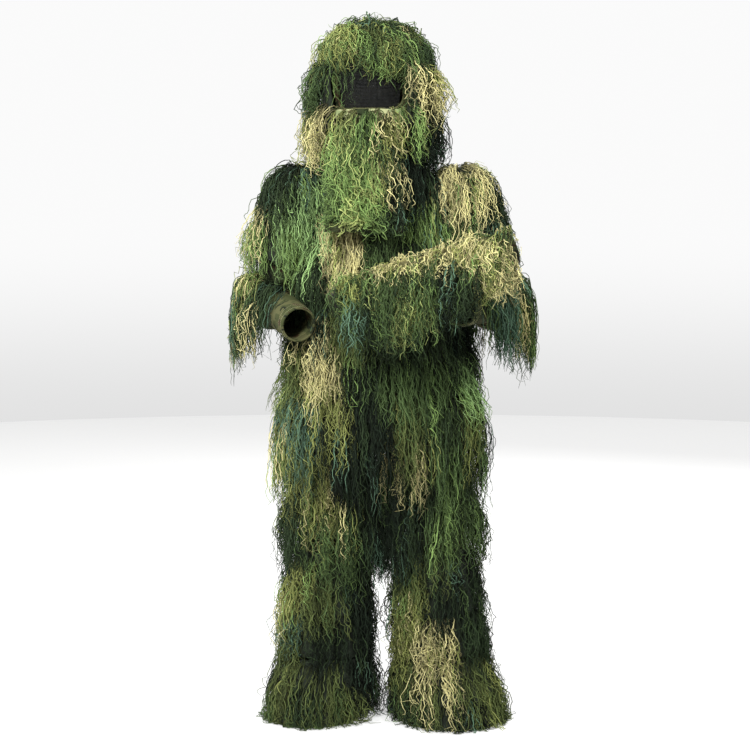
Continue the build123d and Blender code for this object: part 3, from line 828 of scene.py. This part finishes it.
for side, sign in SIDES.items():
    shoulder, elbow = joint_at[f"shoulder_{side}"], joint_at[f"elbow_{side}"]
    wrist = wrist_at(side)
    arm_nodes = [f"sleeve_upper_{side}", f"elbow_gusset_{side}", f"forearm_sleeve_{side}"]
    arm_axis = upright(shoulder + Vector((0, 0, 0.05)), elbow)
    mat = matting(f"sleeve_fringe_{side}", f"upper_arm_{side}", Skin(arm_nodes[:2], arm_axis, 0.2))
    upper = Skin(arm_nodes[:2] + [mat], arm_axis, 0.2)

    def outward(angle, sign=sign):
        return math.sin(angle) * sign > -0.75

    tops = (0.01, 0.03, 0.06, 0.1, 0.14, 0.17)
    ring_row(
        f"sleeve_fringe_{side}", f"upper_arm_{side}", upper, tops, 0.17, UPPER_MIX, 0.02,
        angles=outward, hank=0.08, locks=6, masked=False,
    )
    shoulder_cap(side, shoulder, elbow)
    core = along(elbow, wrist)
    way = (wrist - elbow).normalized()
    level = Vector((way.x, way.y, 0)).normalized()
    aside = Vector((level.y, -level.x, 0))
    if aside.x * sign < 0:
        aside = -aside
    forearm = Skin(arm_nodes[1:], core, 0.3)
    pile = Pile()
    last = 0.115 if side == "right" else 0.215
    for s in np.arange(-0.01, last, 0.032):
        for tilt in (-0.6, 0.0, 0.5, 1.0):
            centre = elbow + way * (s + rng.uniform(-0.01, 0.01))
            out = (aside * math.sin(tilt) + Vector((0, 0, math.cos(tilt)))).normalized()
            root = forearm.place(centre, out)
            length = 0.12 if tilt < -0.3 else 0.21
            colour = pick(FOREARM_MIX[side])
            # Painted shade: under the left forearm the threads are short and mostly black, for the deep shade
            # there
            if side == "left" and tilt < 0.3 and s > 0.05:
                colour, length = pick({"black": 4, "dark": 1}), 0.1
            fan = aside * (SPREAD_OUT[side] if tilt > -0.3 else -0.2)
            pile.hank(forearm, root, out, length, colour, 0.014, 5, 0.02, rise=0.1, fan=fan)
    for angle in np.linspace(-0.35, 1.9, 9):
        out = (aside * math.cos(angle) - level * math.sin(angle)).normalized()
        for top in (0.05, 0.0):
            centre = elbow + Vector((0, 0, top))
            root = forearm.place(centre, (out + Vector((0, 0, 0.2))).normalized())
            colour = pick(FOREARM_MIX[side])
            pile.hank(forearm, root, out, 0.2, colour, 0.014, 5, 0.03, rise=0.0)
    finish_row(pile, f"forearm_fringe_{side}", f"forearm_{side}")

# --- hood and veil ----------------------------------------------------

crown = Vector((NECK.x, NECK.y, 1.685))
CROWN_RADIUS = 0.12
HOOD_ROWS = [f"hood_fringe_{part}" for part in ("top", "brim", "left", "back", "right")]
HOOD_LOOK = {"width": 0.00115}
hood_core = dome(crown, Vector((NECK.x, NECK.y, 1.45)))
hood_cloth = Skin(["hood_crown"], hood_core, 0.3)
hood_mats = [matting(node, "hood", hood_cloth, 0.45, 0.003) for node in HOOD_ROWS]
hood = Skin(["hood_crown"] + hood_mats, hood_core, 0.3)


def hood_colour(angle, z):
    """Yellow-green on the right of the crown, a dark bunch below it and a tan one on the other side."""
    right = angle < 0
    if abs(angle) > 1.7:
        return pick(MIX)
    if z > 1.735:
        if angle < -0.1:
            return pick({"lime": 4, "olive": 4, "green": 2, "forest": 1.5, "dark": 1})
        if angle < 0.35:
            return pick({"teal": 4, "dark": 4, "forest": 3})
        return pick({"dark": 5, "forest": 3, "moss": 3})
    if z > 1.625:
        return pick({"teal": 5, "dark": 3, "forest": 3} if right else {"tan": 8, "olive": 2})
    if angle < -0.95:
        return pick({"tan": 4, "lime": 2, "olive": 2, "dark": 2})
    if right:
        return pick({"green": 4, "lime": 2, "olive": 2, "forest": 3})
    # Painted shade: low on the left, beside the veil, the hood's threads are mostly black for the shade there
    return pick({"black": 6, "dark": 3, "green": 1})


TEMPLE, NAPE = 0.6, 2.3        # the angles between which a side row runs
hood_parts = {
    "hood_fringe_left": lambda a: TEMPLE < a <= NAPE,
    "hood_fringe_back": lambda a: abs(a) > NAPE,
    "hood_fringe_right": lambda a: -NAPE <= a < -TEMPLE,
}
for node, inside in hood_parts.items():
    pile = Pile()
    for row, z in enumerate((1.545, 1.6, 1.655, 1.705, 1.755, 1.79)):
        count = 13 if z < 1.74 else 10
        for i in range(count):
            angle = -math.pi + 2 * math.pi * (i + 0.5 * (row % 2) + rng.uniform(-0.15, 0.15)) / count
            if not inside(angle):
                continue
            out = heading(angle + HOOD_YAW)
            centre = Vector((crown.x, crown.y, min(z, crown.z)))
            if z > crown.z:
                rise = math.asin(min(0.95, (z - crown.z) / CROWN_RADIUS))
                out = (out * math.cos(rise) + Vector((0, 0, math.sin(rise)))).normalized()
            root = hood.place(centre, out)
            length = min(0.17, root.z - 1.42) if z < 1.62 else 0.13
            bulge = 0.034 if 1.64 < z < 1.72 and 0.5 < abs(angle) < 1.7 else 0.018
            colour = hood_colour(angle, z)
            pile.hank(hood, root, out, length, colour, bulge, 7, 0.034, rise=0.3, sway=0.18)
    finish_row(pile, node, "hood", curl=0.004, wild=0.15, **HOOD_LOOK)

pile = Pile()
for i in range(8):
    angle = -0.72 + 1.44 * (i + 0.5) / 8
    for rise in (0.62, 0.9):
        out = heading(angle + HOOD_YAW, rise)
        root = hood.place(crown, out)
        low_edge = (1.69 if angle < -0.5 else 1.716 if angle < 0.0 else 1.666) + 0.005 * rng.normal()
        length = (root.z - low_edge) * 1.05 + 0.008
        mix = {"green": 1.5, "moss": 5, "forest": 3, "olive": 1}
        if angle < -0.1:
            mix = {"lime": 4, "olive": 4, "green": 1}
        pile.hank(hood, root, out, length, pick(mix), 0.02, 6, 0.016, 0.006, rise=0.2, sway=0.2)
finish_row(pile, "hood_fringe_brim", "hood", curl=0.0034, **HOOD_LOOK)

pile = Pile()
for _ in range(46):
    angle = rng.uniform(-math.pi, math.pi)
    rise = math.asin(rng.uniform(0.66, 1.0))
    out = heading(angle + HOOD_YAW, rise)
    root = hood.place(crown, out)
    flat = Vector((out.x, out.y, 0))
    length = 0.075 if abs(angle) < 0.7 else 0.11
    colour = hood_colour(angle, 1.82) if rng.random() < 0.85 else "moss"
    pile.hank(hood, root, out, length, colour, 0.012, 5, 0.022, rise=0.3, sway=0.3, fan=flat * 0.6)
finish_row(pile, "hood_fringe_top", "hood", curl=0.0042, wild=0.2, **HOOD_LOOK)

veil_axis = upright(Vector((NECK.x, NECK.y, 1.62)), Vector((NECK.x, NECK.y, 1.2)))
veil = Skin(["veil_panel"], veil_axis, 0.4)
VEIL_TOP, VEIL_HEIGHT = 1.598, 0.31
for node, heights, length in (
    ("veil_fringe_upper", (1.59, 1.555, 1.51, 1.462), 0.16),
    ("veil_fringe_lower", (1.42, 1.37, 1.32), 0.145),
):
    pile = Pile()
    for z in heights:
        for i in range(4):
            half = 0.074 + 0.03 * (VEIL_TOP - z) / VEIL_HEIGHT
            across = half * (-0.85 + 1.7 * (i + rng.uniform(0.35, 0.65)) / 4)
            centre = Vector((NECK.x, NECK.y, z))
            radius = 0.128 + 0.287 * (VEIL_TOP - z)
            angle = math.asin(max(-0.8, min(0.8, across / radius))) + HOOD_YAW
            out = heading(angle)
            if veil.radius(centre, out) == 0.0:
                continue
            root = veil.place(centre, out)
            mix = {"green": 6, "forest": 3, "lime": 3, "olive": 1}
            # Painted shade: on the veil's left edge the lower bundles are mostly black, for the shade beside
            # the shoulder
            if i == 3:
                mix = {"olive": 4, "tan": 2, "dark": 2} if z > 1.45 else {"black": 6, "dark": 3}
            reach = min(length, root.z - (1.305 if i < 2 else 1.285))
            pile.hank(veil, root, out, reach, pick(mix), 0.022, 6, 0.022, rise=0.0)
    finish_row(pile, node, "veil", curl=0.0046, wild=0.2, **HOOD_LOOK)

# --- rifle wrap -------------------------------------------------------

WRAP_RADIUS = 0.036
low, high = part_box("wrap_sleeve")
wrap_a = Vector((low.x + 0.01, high.y - WRAP_RADIUS, low.z + 0.035))
wrap_b = Vector((high.x - 0.01, low.y + WRAP_RADIUS, high.z - 0.035))
wrap_core = along(wrap_a, wrap_b)
wrap = Skin(["wrap_sleeve"], wrap_core, 0.4)
way = (wrap_b - wrap_a).normalized()
span = (wrap_b - wrap_a).length
front = Vector((way.y, -way.x, 0)).normalized()
if front.y > 0:
    front = -front
upward = way.cross(front)
if upward.z < 0:
    upward = -upward


def wrap_row(node, tilts, pitch, plan):
    """Hanks along the wrap at several angles round it. plan gives each one's colour and length."""
    pile = Pile()
    for tilt in tilts:
        for s in np.arange(0.02, span, pitch):
            at = s + rng.uniform(-0.3, 0.3) * pitch
            out = (front * math.sin(tilt) + upward * math.cos(tilt)).normalized()
            root = wrap.place(wrap_a + way * at, out)
            colour, length = plan(at / span, tilt)
            if colour is None:
                continue
            pile.hank(wrap, root, out, length, colour, 0.016, 6, pitch * 0.6, rise=0.15, sway=0.22)
    finish_row(pile, node, "wrap", per=6, curl=0.004, wild=0.2)


def top_plan(t, tilt):
    if t < 0.1:
        return None, 0
    if t > 0.66:
        return pick({"tan": 6, "olive": 4, "green": 2, "forest": 1}), 0.1
    return pick({"tan": 9, "olive": 2, "lime": 1} if t > 0.27 else {"olive": 4, "forest": 2, "green": 2}), 0.08


def front_plan(t, tilt):
    if t < 0.1:
        return None, 0
    if t > 0.6:
        # Painted shade: the bundles hanging from the front and under side of the wrap here are mostly black,
        # for the shade under it
        if t < 0.82 and tilt > 1.4:
            return pick({"black": 5, "dark": 3}), 0.14
        return pick({"tan": 5, "olive": 3, "green": 2, "forest": 2}), 0.1 if t > 0.82 else 0.075
    length = 0.11 if tilt < 1.2 else rng.uniform(0.12, 0.2)
    if t > 0.28:
        return pick({"green": 3, "forest": 5, "lime": 0.7, "olive": 1.2, "dark": 4, "teal": 1}), length
    return pick({"forest": 4, "dark": 3, "teal": 2, "olive": 1}), 0.8 * length


wrap_row("wrap_fringe_top", (-1.4, -0.8, -0.2, 0.4), 0.036, top_plan)
wrap_row("wrap_fringe_front", (0.7, 1.1, 1.5, 1.9, 2.2), 0.043, front_plan)

# --- fabric -----------------------------------------------------------


def crumple(node, body, material, amount, wave=0.07, longest=0.016):
    """The CAD piece's own shape with soft folds worked into it."""
    work = bmesh.new()
    work.from_mesh(nodes[node].data)
    bmesh.ops.remove_doubles(work, verts=work.verts, dist=1e-6)
    split_long_edges(work, longest)
    low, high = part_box(node)
    middle = (low + high) / 2
    for v in work.verts:
        away = unit(Vector((v.co.x - middle.x, v.co.y - middle.y, 0)), (0, -1, 0))
        q = Vector((v.co.x, v.co.y, v.co.z * 0.6)) / wave
        fold = noise.noise(q) + 0.5 * noise.noise(q * 2.3 + Vector((7, 3, 1)))
        v.co += away * (amount * (fold - 0.25))
        v.co.z = max(v.co.z, 0.001)
    made = add_piece(f"{node}_cloth", work, material)
    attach(made, body)
    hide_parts(node)
    return made


# Cloth pieces lying under the threads, which get the camouflage painted darker as painted shade
HIDDEN = (
    "wrap_sleeve", "sleeve_upper", "thigh", "knee_gusset", "shin", "trouser", "crotch", "waist",
    "jacket", "front_placket", "veil_panel",
)
PLAIN = {
    "wrap_elastics": (ELASTIC, "elastic"),
    "waist_elastic": (ELASTIC, "elastic"),
    "snap_fasteners": (SNAPS, "snap_metal"),
}
cloths = {}
for body, members in frame["record"]["behaviour"]["bodies"].items():
    for node in members:
        if "fringe" in node or node == "eye_mesh":
            continue
        if node in PLAIN:
            material, slot = PLAIN[node]
            nodes[node].data.materials.clear()
            nodes[node].data.materials.append(material)
        elif node == "veil_top_band":
            cloths[node] = crumple(node, body, LIGHT_CAMO, 0.0015, 0.03, 0.008)
        else:
            tight = node.startswith(("cuff", "collar", "waist", "jacket_hem", "hood_crown"))
            # dark picks the camouflage painted darker as painted shade, for cloth under the threads
            dark = node.startswith(HIDDEN)
            look = SHADED_CAMO if dark else CAMO
            amount = 0.002 if tight else 0.006
            wave = 0.022 if node.startswith("cuff") else 0.07
            cloths[node] = crumple(node, body, look, amount, wave, 0.026 if dark else 0.01)


def eye_net():
    """A net of fine black strands across the face opening, open enough to see into the dark hood."""
    pitch, strand, radius = 0.0034, 0.0005, 0.1135
    bottom, top, half = 1.594, 1.73, 0.092

    def spot(across, z):
        angle = across / radius + HOOD_YAW
        shrink = 1.0 if z < crown.z else math.sqrt(max(0.0, 1 - ((z - crown.z) / 0.1145) ** 2))
        narrow = 1.0 - 0.16 * max(0.0, crown.z - z) / 0.1
        r = radius * shrink * (narrow if z < crown.z else 1.0)
        return (crown.x + r * math.sin(angle), crown.y - r * math.cos(angle), z)

    heights = np.arange(bottom, top + 0.0005, pitch)
    widths = np.arange(-half, half + 0.0001, pitch)
    level_lines = [[spot(a, z) for a in np.linspace(-half, half, STEPS * 2 + 1)] for z in heights]
    upright_lines = [[spot(a, z) for z in np.linspace(bottom, top, STEPS + 1)] for a in widths]
    for name, group in (("across", level_lines), ("down", upright_lines)):
        array = np.array(group)
        one_shade = np.zeros(len(array), int)
        piece = tubes(f"eye_net_{name}", array, one_shade, strand, one_shade)
        piece.data.materials.clear()
        piece.data.materials.append(NET)
        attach(piece, "hood")
        if name == "across":
            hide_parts("eye_mesh")


eye_net()


def stitches(name, body, points, size=0.0032):
    """Short raised stitches along a line of points, each lying along it."""
    work = bmesh.new()
    for a, b in zip(points, points[1:]):
        way = b - a
        if way.length < 1e-5:
            continue
        turn = way.to_track_quat("X", "Z").to_matrix().to_4x4()
        shape = Matrix.Diagonal((size * 0.5, size * 0.17, size * 0.17, 1))
        place = Matrix.Translation((a + b) / 2) @ turn @ shape
        bmesh.ops.create_icosphere(work, subdivisions=1, radius=1.0, matrix=place)
    mesh = bpy.data.meshes.new(name)
    work.to_mesh(mesh)
    work.free()
    mesh.materials.append(STITCH)
    made = add_object(name, mesh)
    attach(made, body)


def seam_round(tree, a, way, reach, inset):
    """Points every few millimetres round a sleeve at one place along it, on its cloth."""
    side = way.cross(Vector((0, 0, 1))).normalized()
    lift = side.cross(way).normalized()
    centre = a + way * inset
    points = []
    for i in range(65):
        angle = 2 * math.pi * i / 64
        out = side * math.cos(angle) + lift * math.sin(angle)
        hit = tree.ray_cast(centre + out * reach, -out, reach)
        if hit[0] is not None:
            points.append(hit[0] + out * 0.0004)
    return points


for side in SIDES:
    elbow = joint_at[f"elbow_{side}"]
    wrist = wrist_at(side)
    way = (wrist - elbow).normalized()
    tree = BVHTree.FromObject(cloths[f"cuff_{side}"], bpy.context.evaluated_depsgraph_get())
    for i, inset in enumerate((-0.009, 0.009)):
        stitches(f"cuff_{side}_stitches_{i + 1}", f"forearm_{side}", seam_round(tree, wrist, way, 0.1, inset))

# --- stage, light and camera ------------------------------------------


def stage_piece(name, material):
    """Names the mesh just added and makes it part of the studio, which casts no light on the suit."""
    made = bpy.context.object
    made.name = name
    made.data.materials.append(material)
    made.visible_diffuse = False


def aim(made, place, target):
    made.location = place
    made.rotation_mode = "QUATERNION"
    made.rotation_quaternion = (Vector(target) - Vector(place)).to_track_quat("-Z", "Y")


white, tree, shader = new_material("studio_white", 0.9)
shader.inputs["Base Color"].default_value = (0.62, 0.62, 0.615, 1)
shader.inputs["Emission Color"].default_value = (1.0, 1.0, 1.0, 1)
shader.inputs["Emission Strength"].default_value = 0.42
bpy.ops.mesh.primitive_plane_add(size=14)
stage_piece("floor", white)

backdrop_look = bpy.data.materials.new("backdrop")
backdrop_look.use_nodes = True
tree = backdrop_look.node_tree
tree.nodes.clear()
height = tree.nodes.new("ShaderNodeSeparateXYZ")
tree.links.new(tree.nodes.new("ShaderNodeTexCoord").outputs["Generated"], height.inputs[0])
haze = ramp(tree, height.outputs["Z"], [(0.0, (0.76, 0.76, 0.76)), (0.16, (0.96, 0.96, 0.96))], "EASE")
glow = tree.nodes.new("ShaderNodeEmission")
tree.links.new(haze, glow.inputs["Color"])
tree.links.new(glow.outputs[0], tree.nodes.new("ShaderNodeOutputMaterial").inputs[0])
bpy.ops.mesh.primitive_cylinder_add(
    vertices=64, radius=6.9, depth=8, end_fill_type="NOTHING", location=(0, 0, 3.9)
)
stage_piece("backdrop", backdrop_look)

world = bpy.data.worlds.new("studio")
bpy.context.scene.world = world
world.use_nodes = True
world.node_tree.nodes["Background"].inputs[0].default_value = (1.0, 1.0, 1.0, 1)
world.node_tree.nodes["Background"].inputs[1].default_value = 0.54


for name, place, size, power in (
    ("key", (-1.4, -3.4, 3.4), 0.8, 215),
    ("fill", (2.2, -3.2, 2.4), 1.4, 90),
    ("rim", (1.6, 3.6, 2.9), 2.0, 110),
    ("edge", (-3.6, 0.8, 2.0), 2.0, 50),
):
    data = bpy.data.lights.new(name, "AREA")
    data.size, data.energy = size, power
    light = add_object(name, data)
    aim(light, place, (0, 0, 1))

data = bpy.data.cameras.new("camera")
data.lens, data.sensor_width = 84, 36
camera = add_object("camera", data)
target = Vector((-0.018, 0.1065, 0.909))
DISTANCE = 4.6
aim(camera, (target.x, target.y - DISTANCE, 1.35), target)
bpy.context.scene.camera = camera
bpy.context.scene.view_settings.view_transform = "Standard"
